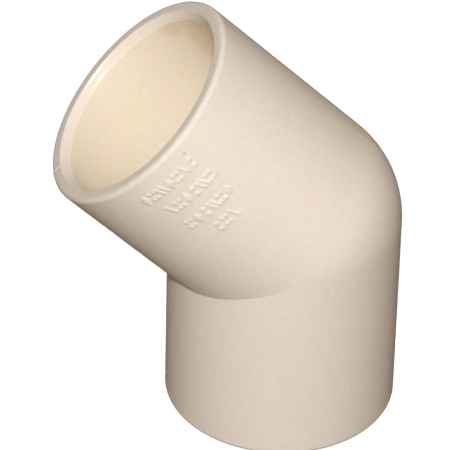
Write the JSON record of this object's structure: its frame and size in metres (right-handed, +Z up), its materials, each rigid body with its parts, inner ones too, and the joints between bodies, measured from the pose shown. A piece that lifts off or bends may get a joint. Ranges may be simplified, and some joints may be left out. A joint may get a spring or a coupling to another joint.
{
  "type": "conduit elbow",
  "caption": "45 degree slip elbow in cream plastic: a short tubular bend with a tapered glue socket and a stop shoulder inside each end, for joining rigid tube.",
  "frame": {"origin": "middle of the bounding box on the plane that the lower socket's end face stands on; the lower socket's axis is 8.32 mm towards +X of it, and the two socket axes cross 31.0 mm above that plane", "axes": "+Z up the lower socket's axis and along the longest side, the upper socket leaning 45 degrees towards -X, +Y across the bend, normal to the plane that holds both socket axes"},
  "size_m": [0.0506, 0.0342, 0.0646],
  "materials": {
    "cream_plastic": "cream moulded plastic, satin to lightly glossy"
  },
  "bodies": {
    "root": {"elbow_body": "cream_plastic"}
  },
  "joints": []
}
